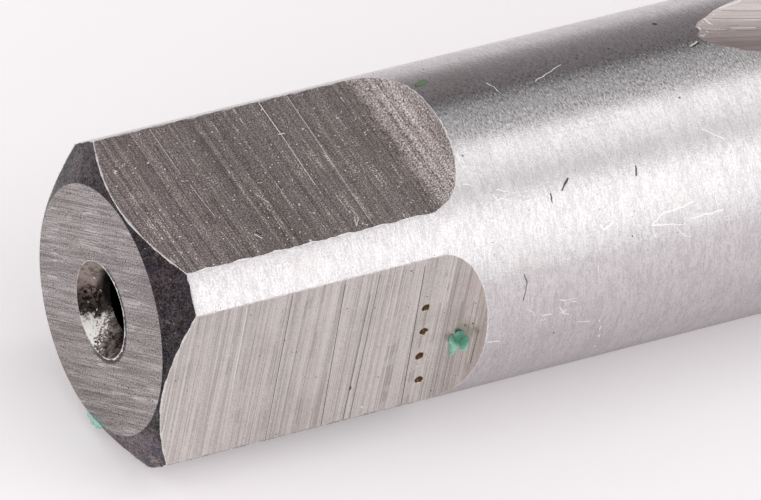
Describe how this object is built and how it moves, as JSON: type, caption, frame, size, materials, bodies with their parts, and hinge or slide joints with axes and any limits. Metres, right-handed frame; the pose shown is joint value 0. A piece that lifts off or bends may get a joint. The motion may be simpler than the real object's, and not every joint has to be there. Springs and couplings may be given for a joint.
{
  "type": "machine tap",
  "caption": "Straight-flute machine tap for a coarse metric thread, with a taper lead, a plain shank and a square drive end.",
  "frame": {"origin": "centre of the flat end face of the drive square, on the axis of the tap", "axes": "+X along the axis of the tap, from the drive square towards the cutting end; +Z is the normal of the square's upper flat and -Y the normal of the flat that carries the test dents"},
  "size_m": [0.138, 0.0272, 0.0272],
  "materials": {
    "tool_steel": "ground and milled hardened tool steel, with fine tool marks, light scratches and small brown spots"
  },
  "bodies": {
    "root": {"tap": "tool_steel"}
  },
  "joints": []
}
